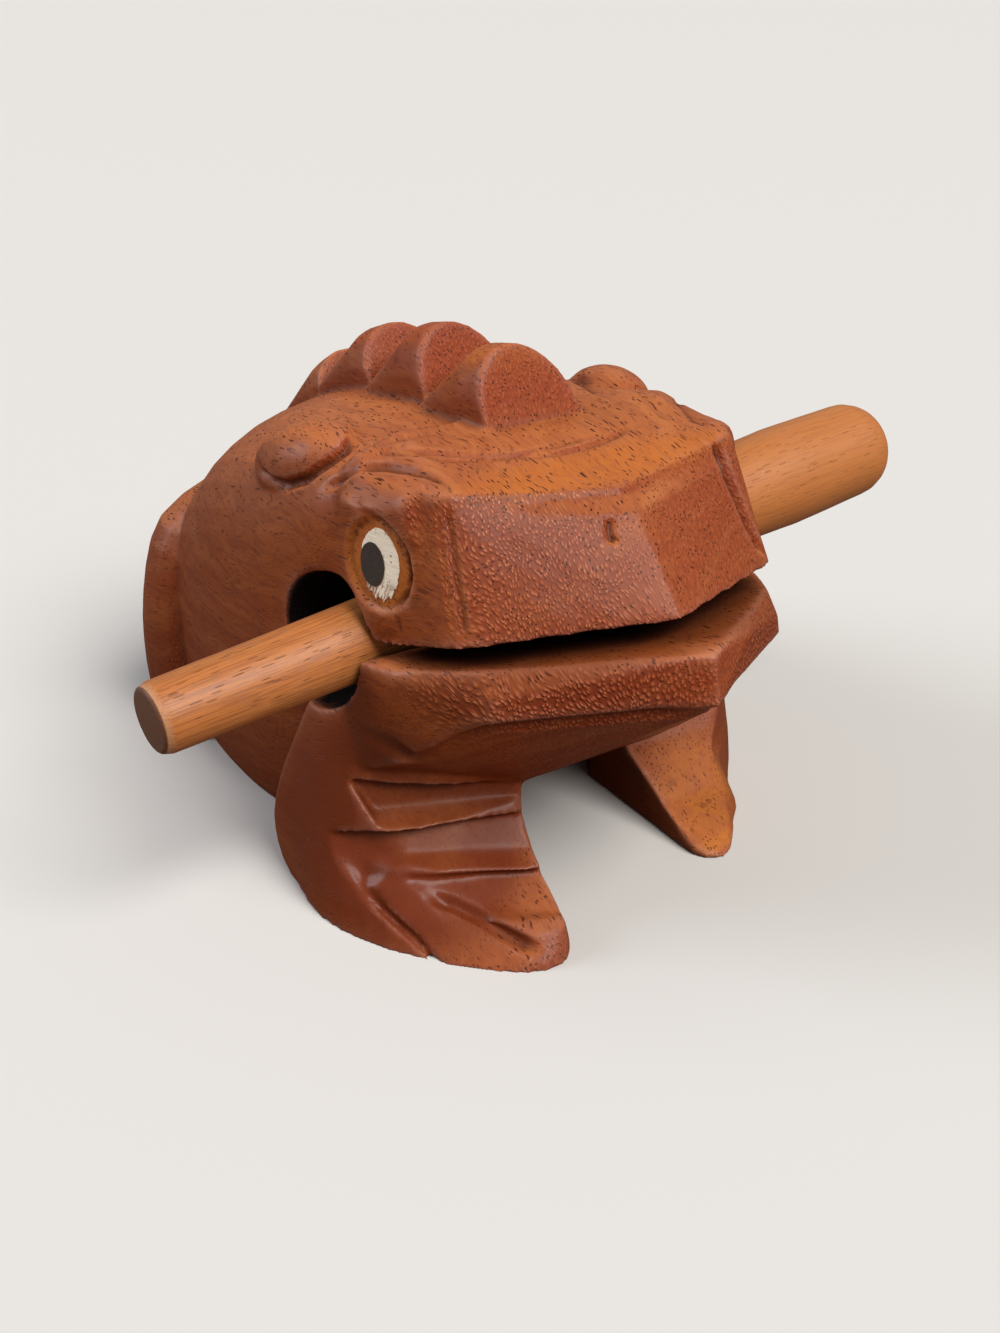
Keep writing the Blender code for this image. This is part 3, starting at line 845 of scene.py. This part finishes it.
# Lines of the carving tool, in millimetres on the solid.
BROW_LINE = [
    (-30.7, -29.7, 60.6), (-29.0, -32.3, 62.6), (-26.7, -35.7, 64.9), (-25.0, -38.4, 65.7),
    (-23.6, -42.0, 65.9), (-22.2, -45.5, 65.9), (-21.8, -49.4, 65.7),
]
EYE_ARC = [
    (-30.3, -39.6, 61.0), (-29.4, -43.9, 60.6), (-28.7, -46.6, 59.1), (-28.3, -48.4, 56.9),
    (-28.2, -49.1, 54.2), (-28.5, -48.8, 51.8), (-29.1, -46.7, 49.0),
]
NEAR_BUMP_CREASE = [
    (-32.6, -11.5, 59.9), (-33.0, -14.2, 59.0), (-32.7, -17.4, 58.4), (-31.8, -20.9, 58.8),
    (-30.4, -24.9, 60.7), (-28.5, -26.8, 62.8), (-27.3, -27.5, 63.7), (-25.7, -27.6, 64.8),
    (-24.4, -26.7, 65.7), (-22.6, -24.4, 66.3),
]
BROW_GROOVE_CREASE = [
    (-24.6, -33.6, 66.0), (-21.5, -39.0, 67.0), (-17.7, -43.0, 66.4), (-12.3, -44.4, 66.0),
    (-5.8, -44.5, 65.9), (1.0, -44.1, 66.0), (7.0, -43.8, 66.0),
]
FAR_BUMP_CREASE = [
    (21.5, -14.5, 63.8), (20.4, -18.5, 65.0), (19.0, -23.6, 65.8), (17.0, -29.5, 67.0),
    (17.3, -33.0, 67.3),
]
FAR_RIDGE_CRACK = [
    (20.0, -51.0, 65.5), (20.8, -55.0, 60.1), (21.7, -56.5, 57.1), (22.5, -57.8, 54.0),
    (23.6, -58.9, 51.2), (25.4, -58.7, 48.6),
]
FAR_RIDGE_LINE = [
    (22.6, -50.0, 64.0), (23.6, -53.2, 58.0), (24.6, -55.8, 53.0), (26.0, -57.0, 48.6),
]
NEAR_RIDGE_LINE = [
    (-23.8, -51.4, 64.6), (-24.0, -53.1, 61.3), (-24.8, -55.7, 55.5), (-25.3, -57.9, 50.8),
    (-25.7, -59.2, 47.6),
]
NOSE_NICK = [(-4.0, -60.2, 61.0), (-4.7, -61.2, 59.6), (-4.9, -61.8, 58.5)]
NOSE_NICK_FOOT = [(-4.9, -61.4, 58.9), (-4.2, -62.2, 58.5)]
# It sets the lip off from the throat.
LIP_UNDERCUT = [
    (-33.6, -45.2, 29.6), (-31.9, -49.4, 29.2), (-30.2, -52.6, 28.0), (-28.6, -56.2, 30.2),
    (-26.8, -59.6, 33.8), (-24.5, -63.6, 36.4), (-19.0, -67.0, 37.3), (-12.6, -71.0, 38.2),
    (-6.2, -75.0, 39.1), (0.4, -78.0, 39.8),
]
TOE_LINE = [
    (-29.1, -54.6, 6.6), (-26.3, -56.8, 5.4), (-24.1, -59.9, 4.4), (-22.0, -64.6, 3.3),
    (-20.0, -68.7, 2.4),
]
EYE_SCRATCH = [(-29.0, -47.4, 48.2), (-29.0, -48.3, 45.6)]

# Path, half width and depth of each stroke, in the order in which they are cut.
STROKES = (
    (BROW_LINE, 1.25, 0.80),
    (mirrored(BROW_LINE), 1.25, 0.65),
    (EYE_ARC, 0.95, 0.60),
    (mirrored(EYE_ARC), 0.95, 0.50),
    (NEAR_BUMP_CREASE, 1.35, 0.95),
    (BROW_GROOVE_CREASE, 1.0, 0.40),
    (FAR_BUMP_CREASE, 1.8, 0.85),
    (FAR_RIDGE_CRACK, 1.5, 1.25),
    (FAR_RIDGE_LINE, 0.9, 0.45),
    (NEAR_RIDGE_LINE, 0.95, 0.50),
    ([(x - 0.9, y + 1.0, z) for x, y, z in NEAR_RIDGE_LINE], 0.8, 0.22),
    (NOSE_NICK, 0.85, 0.6),
    (NOSE_NICK_FOOT, 0.8, 0.4),
    (LIP_UNDERCUT, 2.3, 1.25),
    (mirrored(LIP_UNDERCUT), 2.3, 1.1),
    (TOE_LINE, 1.7, 1.0),
    (EYE_SCRATCH, 0.7, 0.25),
)

# Places that are rubbed smooth: centre and half sizes in millimetres.
RUBBED_HARD = (
    ((-31.0, -33.0, 49.0), (5.0, 6.5, 12.0)),
    ((31.0, -33.0, 49.0), (5.0, 6.5, 12.0)),
    ((25.0, -60.0, 10.0), (10.0, 10.0, 12.0)),
    ((-24.0, -61.0, 4.0), (5.0, 8.0, 4.0)),
)
RUBBED_SOFT = (
    ((-26.6, -40.5, 64.5), (4.0, 10.0, 3.5)),
    ((26.6, -40.5, 64.5), (4.0, 10.0, 3.5)),
    ((-26.0, -53.5, 56.0), (3.0, 4.0, 11.0)),
    ((26.0, -53.5, 56.0), (3.0, 4.0, 11.0)),
    ((-32.0, -48.6, 37.5), (3.0, 4.0, 7.0)),
    ((-23.0, -49.0, 16.0), (11.0, 3.5, 1.8)),
    ((-23.0, -54.5, 9.3), (11.0, 4.5, 1.8)),
    ((-33.8, -47.2, 9.5), (4.5, 5.5, 5.5)),
    ((32.0, -48.6, 37.5), (3.0, 4.0, 7.0)),
)
HARD_RUBS = 60
SOFT_RUBS = 22

# The cross hole, in millimetres: its middle line climbs from the right mouth to the left one.
HOLE_Y = -33.0
HOLE_RIGHT_Z = 39.6
HOLE_CLIMB = 4.0
HOLE_HALF_SPAN = 33.0
HOLE_WALL = 9.95
# Half span of the hole's wall that is painted near black as shade.
HOLE_SHADE_HALF_SPAN = 36.0

# Depth of an eye's socket in metres, and how far its golden varnish reaches in millimetres.
SOCKET_DEPTH = 0.0007
SOCKET_REACH = 7.6
# How far away, in metres, wood still casts painted shade into a hollow.
SHADOW_REACH = 0.014


def inside_hole(points):
    """1 on the wall of the cross hole and 0 elsewhere."""
    x, y, z = (points / MM).T
    middle = HOLE_RIGHT_Z + HOLE_CLIMB * (x + HOLE_HALF_SPAN) / (2.0 * HOLE_HALF_SPAN)
    away = np.hypot(y - HOLE_Y, z - middle)
    across = np.clip((HOLE_WALL - away) / 0.25, 0.0, 1.0)
    return across * np.clip((HOLE_SHADE_HALF_SPAN - np.abs(x)) / 2.0, 0.0, 1.0)


def cut_socket(frog, side, radius):
    """Press an eye's socket, fray its rim and return how near each point is to the eye."""
    place = eye_place(frog, side)
    dish(frog, place, radius, SOCKET_DEPTH, (side, 0.0, 0.0))
    for turn in range(-150, 60, 17):
        rise = math.radians(turn + 90.0)
        # The sine takes the degrees as they are, which only scatters the lengths.
        ends = [6.9 + 0.7 * math.sin(turn), 5.0]
        line = [
            (
                place.x / MM,
                place.y / MM - reach * math.sin(rise),
                place.z / MM + reach * math.cos(rise),
            )
            for reach in ends
        ]
        stroke(frog, line, 0.75, 0.16)
    away = np.linalg.norm(points_of(frog) - np.array(place), axis=1) / MM
    return np.clip((SOCKET_REACH - away) / 1.6, 0.0, 1.0)


def colour_tags(frog, wear_and_sheen, hollow, sockets):
    """The numbers that tell the material where each tint lies."""
    points = points_of(frog)
    normals = normals_of(frog)
    y, z = points[:, 1] / MM, points[:, 2] / MM
    front = np.clip(-normals[:, 1] * 1.6 - 0.5, 0.0, 1.0)
    up = np.clip(normals[:, 2] * 2.0 - 0.6, 0.0, 1.0)
    near_side = np.clip(0.5 - points[:, 0] / (12.0 * MM), 0.25, 1.0)
    high = np.clip((z - 33.0) / 4.0, 0.0, 1.0)
    ahead = np.clip((-40.0 - y) / 8.0, 0.0, 1.0)
    lip_wall = patch(points, (0.0, -62.0, 39.5), (34.0, 18.0, 7.0), 0.2)
    lip_wall *= (1.0 - up) * np.clip(normals[:, 2] * 3.0 + 1.0, 0.0, 1.0)
    near_leg = patch(points, (-28.0, -46.0, 14.0), (16.0, 23.0, 17.0), 0.2)
    far_leg = patch(points, (28.0, -46.0, 14.0), (14.0, 20.0, 16.0), 0.2)
    far_foot = patch(points, (24.0, -58.0, 9.0), (11.0, 13.0, 13.0))
    brow = patch(points, (0.0, -52.0, 66.0), (22.0, 5.0, 4.0))
    first_fin = patch(points, (0.0, -27.0, 75.0), (12.0, 6.0, 8.0))
    return {
        # Paler worn edges, with a painted sheen on them and on broad ridges.
        "wear_and_sheen": wear_and_sheen,
        "hollow": hollow,
        # Painted shade where the wood hides the sky over a point, and in the cross hole.
        "occlusion_shade": np.maximum(enclosed(frog, SHADOW_REACH) * 0.95, inside_hole(points)),
        "pebbled": np.maximum(front * near_side * high * ahead, lip_wall),
        "orange": np.maximum(brow * 0.8, first_fin * 0.6),
        # Painted shade of the upper jaw on the lip's top band.
        "lip_shade_band": patch(points, (0.0, -58.0, 44.0), (36.0, 19.0, 5.5), 0.2) * up,
        "burgundy": np.maximum(near_leg, far_leg * 0.4),
        "golden": np.maximum(sockets * 0.8, far_foot * 0.9),
    }


class GUIRO_OT_carve_frog(Operator):
    """Carve the frog's body from its CAD solid"""

    bl_idname = "guiro.carve_frog"
    bl_label = "Carve frog"

    def execute(self, context):
        sizes = context.scene.frog_carving
        frog = copied_node("frog_body", "carved_frog")
        press(frog, "REMESH", mode="VOXEL", voxel_size=sizes.grid, adaptivity=0.0)
        press(frog, "SMOOTH", factor=0.5, iterations=sizes.softening)
        rub(frog, RUBBED_HARD, HARD_RUBS)
        rub(frog, RUBBED_SOFT, SOFT_RUBS)
        waves = bpy.data.textures.new("knife_waves", "CLOUDS")
        waves.noise_scale = 0.011
        waves.noise_depth = 1
        ripple(frog, waves, sizes.tool_marks)
        for path, width, depth in STROKES:
            stroke(frog, path, width, depth)
        radius = context.scene.eye_paint.socket_radius
        sockets = cut_socket(frog, -1.0, radius) + cut_socket(frog, 1.0, radius)
        flat = points_of(frog)
        flat[:, 2] = np.maximum(flat[:, 2], 0.0)
        put_points(frog, flat)

        # Some tags are read on the even mesh, then carried to the nearest point of the lighter one.
        fine = points_of(frog)
        wear_and_sheen, hollow = stand_and_sink(frog)
        tree = KDTree(len(fine))
        for i, place in enumerate(fine.tolist()):
            tree.insert(place, i)
        tree.balance()
        faces = len(frog.data.polygons) * 2
        if faces > sizes.triangle_limit:
            share = sizes.triangle_limit / faces
            press(frog, "DECIMATE", decimate_type="COLLAPSE", ratio=share)
        near = np.array([tree.find(place)[1] for place in points_of(frog).tolist()])
        keep_tags(frog, colour_tags(frog, wear_and_sheen[near], hollow[near], sockets[near]))
        pick(frog)
        bpy.ops.object.shade_smooth()
        frog_finish(context.scene.wood_colours).wear(frog)
        settle(frog, "carved_frog")
        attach(frog, "root")
        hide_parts("frog_body")
        return {"FINISHED"}


DISC_SIDES = 80
DISC_RINGS = 9
DISC_RADIUS = 0.5


def paint_disc(frog, name, centre, side, width, height, lift, thickness, ragged):
    """A round of paint that follows the wood: rings of faces laid on it and given a thickness."""
    pick_none()
    bpy.ops.mesh.primitive_circle_add(
        vertices=DISC_SIDES, radius=DISC_RADIUS, fill_type="NGON", location=(0.0, 0.0, 0.0)
    )
    disc = bpy.context.object
    bpy.ops.object.mode_set(mode="EDIT")
    bpy.ops.mesh.select_all(action="SELECT")
    for _ in range(DISC_RINGS):
        bpy.ops.mesh.inset(thickness=0.05, depth=0.0)
    bpy.ops.mesh.poke()
    bpy.ops.object.mode_set(mode="OBJECT")
    flat = points_of(disc)
    turn = np.arctan2(flat[:, 1], flat[:, 0])
    out = np.linalg.norm(flat, axis=1) / DISC_RADIUS
    # The brush left the rim uneven, most of all along its lower side.
    low = np.clip(-np.sin(turn) * 1.6 - 0.2, 0.0, 1.0)
    rim = np.sin(turn * 23.0 + 0.6) * np.sin(turn * 9.0 + 1.1) * (0.35 + 1.65 * low)
    rim += 0.25 * np.sin(turn * 5.0)
    flat *= (1.0 + ragged * rim * out ** 3)[:, None]
    put_points(disc, flat)
    # The disc's own X runs forward, its Y up and its Z out of the head.
    outward = Vector((side, -0.16, 0.03)).normalized()
    upward = (Vector((0.0, 0.0, 1.0)) - outward * outward.z).normalized()
    forward = upward.cross(outward)
    axes = Matrix((forward, upward, outward)).transposed().to_4x4()
    size = Matrix.Diagonal((width, height, 1.0, 1.0))
    disc.matrix_world = Matrix.Translation(centre + outward * MM) @ axes @ size
    settle(disc, name)
    press(
        disc,
        "SHRINKWRAP",
        target=frog,
        wrap_method="NEAREST_SURFACEPOINT",
        wrap_mode="ABOVE_SURFACE",
        offset=lift,
    )
    press(disc, "SOLIDIFY", thickness=thickness, offset=1.0)
    pick(disc)
    bpy.ops.object.shade_smooth_by_angle(angle=math.radians(40.0))
    return disc


class GUIRO_OT_paint_eyes(Operator):
    """Paint the eyes in their sockets"""

    bl_idname = "guiro.paint_eyes"
    bl_label = "Paint eyes"

    def execute(self, context):
        sizes = context.scene.eye_paint
        white = eye_white_finish(context.scene.wood_colours)
        black = pupil_finish()
        frog = bpy.data.objects["carved_frog"]
        coat = sizes.paint
        for side, word in ((-1.0, "right"), (1.0, "left")):
            place = eye_place(frog, side)
            behind = place + Vector((0.0, 0.0014, -0.0004))
            wide, tall = sizes.white_width, sizes.white_height
            small_wide, small_tall = sizes.pupil_width, sizes.pupil_height
            rounds = (
                ("eye_white_" + word, place, wide, tall, 0.0, 0.05, white),
                ("pupil_" + word, behind, small_wide, small_tall, coat, 0.012, black),
            )
            for name, centre, width, height, lift, ragged, finish in rounds:
                disc = paint_disc(frog, name, centre, side, width, height, lift, coat, ragged)
                finish.wear(disc)
                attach(disc, "root")
        return {"FINISHED"}


def stick_axis():
    """Start, direction, length and outline of the stick, read from its CAD node."""
    points = points_of(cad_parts["striker_stick"])
    centre = points.mean(axis=0)
    spread = np.linalg.svd(points - centre, full_matrices=False)[2][0]
    if spread[0] < 0:
        spread = -spread
    along = (points - centre) @ spread
    start = centre + spread * along.min()
    along = along - along.min()
    radius = np.linalg.norm(points - start - along[:, None] * spread, axis=1)
    order = np.argsort(along)
    return Vector(start), Vector(spread), float(along.max()), along[order], radius[order]


# Distances from the thick end, in metres, at which more rings draw its rounding.
ROUND_END_RINGS = (0.0022, 0.0014, 0.0008, 0.0004, 0.00015, 0.0)


class GUIRO_OT_turn_stick(Operator):
    """Turn the striker stick and lay it in the cross hole"""

    bl_idname = "guiro.turn_stick"
    bl_label = "Turn stick"

    def execute(self, context):
        sizes = context.scene.stick_turning
        start, axis, length, along, radius = stick_axis()
        # Outline: the widest point of the CAD node at each place along the stick.
        places = np.unique(np.round(along, 5))
        widths = np.array([radius[np.abs(along - place) < 2e-5].max() for place in places])
        rings = length * np.linspace(0.0, 1.0, sizes.rings + 1)
        rings = np.unique(np.concatenate([rings[:-1], length - np.array(ROUND_END_RINGS)]))
        outline = np.maximum(np.interp(rings, places, widths), 0.0004)
        pick_none()
        bpy.ops.mesh.primitive_circle_add(
            vertices=sizes.sides,
            radius=float(outline[0]),
            fill_type="NGON",
            location=(0.0, 0.0, 0.0),
        )
        stick = bpy.context.object
        bpy.ops.object.mode_set(mode="EDIT")
        bpy.ops.mesh.select_all(action="SELECT")
        for below, above, wide, narrow in zip(rings[:-1], rings[1:], outline[:-1], outline[1:]):
            climb = (0.0, 0.0, float(above - below))
            bpy.ops.mesh.extrude_region_move(TRANSFORM_OT_translate={"value": climb})
            grow = float(narrow / wide)
            middle = (0.0, 0.0, float(above))
            bpy.ops.transform.resize(value=(grow, grow, 1.0), center_override=middle)
        bpy.ops.mesh.select_all(action="SELECT")
        bpy.ops.mesh.normals_make_consistent(inside=False)
        bpy.ops.mesh.select_all(action="DESELECT")
        bpy.ops.object.mode_set(mode="OBJECT")
        # The flat end's rim.
        rim_radius = outline[0] * 0.98
        for edge in stick.data.edges:
            ends = [stick.data.vertices[v].co for v in edge.vertices]
            edge.select = all(abs(p.z) < 1e-6 and math.hypot(p.x, p.y) > rim_radius for p in ends)
        bpy.ops.object.mode_set(mode="EDIT")
        bpy.ops.mesh.select_mode(type="EDGE")
        bpy.ops.mesh.bevel(offset=sizes.rim, segments=4, affect="EDGES")
        bpy.ops.mesh.select_mode(type="VERT")
        bpy.ops.object.mode_set(mode="OBJECT")
        # The rim's tag marks wear and a painted highlight.
        points = points_of(stick)
        rim = np.clip(1.0 - np.abs(points[:, 2] - 0.0003) / (0.9 * MM), 0.0, 1.0)
        rim *= np.linalg.norm(points[:, :2], axis=1) > outline[0] * 0.9
        keep_tags(stick, {"wear_and_sheen": rim})
        turned = axis.to_track_quat("Z", "Y").to_matrix().to_4x4()
        stick.matrix_world = Matrix.Translation(start) @ turned
        settle(stick, "turned_stick")
        waver = bpy.data.textures.new("turning_waver", "CLOUDS")
        waver.noise_scale = 0.009
        ripple(stick, waver, sizes.waver)
        pick(stick)
        bpy.ops.object.shade_smooth_by_angle(angle=math.radians(35.0))
        stick_finish(context.scene.wood_colours, axis, start).wear(stick)
        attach(stick, "root")
        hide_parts("striker_stick")
        return {"FINISHED"}


# The camera of the photograph, in metres, degrees and millimetres of a 36 mm wide film.
CAMERA_PLACE = (-0.11486, -0.20645, 0.13439)
CAMERA_HEADING = 32.7
CAMERA_DOWN = 27.5
CAMERA_ROLL = 0.13
CAMERA_LENS = 40.48
FILM_WIDTH = 36.0

# The floor's colour for rays that don't come from the camera, so that it throws little light up.
FLOOR_BOUNCE = (0.14, 0.10, 0.075)
LIT_POINT = Vector((0.0, 0.0, 0.03))


def sun_lamp(name, place, width, strength, colour):
    """A soft sun that shines from a place towards the middle of the frog."""
    bpy.ops.object.light_add(type="SUN", location=place)
    lamp = bpy.context.object
    lamp.name = name
    lamp.data.angle = math.radians(width)
    lamp.data.energy = strength
    lamp.data.color = colour
    lamp.rotation_euler = (LIT_POINT - lamp.location).to_track_quat("-Z", "Y").to_euler()


class GUIRO_OT_stage(Operator):
    """Floor, lamps and the camera at the photograph's angle"""

    bl_idname = "guiro.stage"
    bl_label = "Stage"

    def execute(self, context):
        scene = context.scene
        light = scene.stage_light
        pick_none()
        bpy.ops.mesh.primitive_plane_add(size=12.0, location=(0.0, 0.0, 0.0))
        floor = bpy.context.object
        floor.name = "studio_floor"
        f = Finish("floor_paint")
        seen = f.node("ShaderNodeLightPath").outputs["Is Camera Ray"]
        pale = f.tint(rgba(FLOOR_BOUNCE), rgba(scene.wood_colours.floor_colour), seen)
        f.surface(base_color=pale, roughness=0.9)
        f.wear(floor)

        pick_none()
        sun_lamp("key_lamp", (0.20, -0.95, 1.10), 38.0, light.key_strength, (1.0, 0.965, 0.92))
        sun_lamp("window_lamp", (-0.75, 0.55, 0.50), 30.0, light.window_strength, (0.90, 0.93, 1.0))

        world = scene.world or bpy.data.worlds.new("room")
        scene.world = world
        world.use_nodes = True
        tree = world.node_tree
        sky = tree.nodes["Background"]
        sky.inputs["Color"].default_value = (0.95, 0.97, 1.0, 1.0)
        path = tree.nodes.new("ShaderNodeLightPath")
        mix = tree.nodes.new("ShaderNodeMix")
        mix.data_type = "FLOAT"
        mix.inputs[2].default_value = light.room
        mix.inputs[3].default_value = 1.0
        tree.links.new(path.outputs["Is Camera Ray"], mix.inputs[0])
        tree.links.new(mix.outputs[0], sky.inputs["Strength"])

        turn = (
            Matrix.Rotation(-math.radians(CAMERA_HEADING), 3, "Z")
            @ Matrix.Rotation(math.radians(90.0) - math.radians(CAMERA_DOWN), 3, "X")
            @ Matrix.Rotation(math.radians(CAMERA_ROLL), 3, "Z")
        )
        bpy.ops.object.camera_add(location=CAMERA_PLACE, rotation=turn.to_euler())
        camera = bpy.context.object
        camera.name = "photo_camera"
        camera.data.sensor_width = FILM_WIDTH
        camera.data.lens = CAMERA_LENS
        camera.data.clip_start = 0.01
        scene.camera = camera
        scene.view_settings.view_transform = "Standard"
        return {"FINISHED"}


class GUIRO_PT_panel(Panel):
    """The guiro's pieces in the sidebar"""

    bl_idname = "GUIRO_PT_panel"
    bl_label = "Frog guiro"
    bl_space_type = "VIEW_3D"
    bl_region_type = "UI"
    bl_category = "Frog guiro"

    def draw(self, context):
        for place in SETTINGS:
            group = getattr(context.scene, place)
            box = self.layout.box()
            for name in group.__annotations__:
                box.prop(group, name)
        for operator in OPERATORS:
            self.layout.operator(operator.bl_idname)


SETTINGS = {
    "frog_carving": FrogCarving,
    "eye_paint": EyePaint,
    "stick_turning": StickTurning,
    "wood_colours": WoodColours,
    "stage_light": StageLight,
}
OPERATORS = (GUIRO_OT_carve_frog, GUIRO_OT_paint_eyes, GUIRO_OT_turn_stick, GUIRO_OT_stage)
CLASSES = tuple(SETTINGS.values()) + OPERATORS + (GUIRO_PT_panel,)


def register():
    """Register the classes and hang the settings on the scene."""
    for cls in CLASSES:
        bpy.utils.register_class(cls)
    for place, group in SETTINGS.items():
        setattr(bpy.types.Scene, place, PointerProperty(type=group))


def unregister():
    """Take the settings and classes away again."""
    for place in SETTINGS:
        delattr(bpy.types.Scene, place)
    for cls in reversed(CLASSES):
        bpy.utils.unregister_class(cls)


def main():
    """Make every piece and the stage."""
    register()
    bpy.ops.guiro.carve_frog()
    bpy.ops.guiro.paint_eyes()
    bpy.ops.guiro.turn_stick()
    bpy.ops.guiro.stage()


if __name__ == "__main__":
    main()
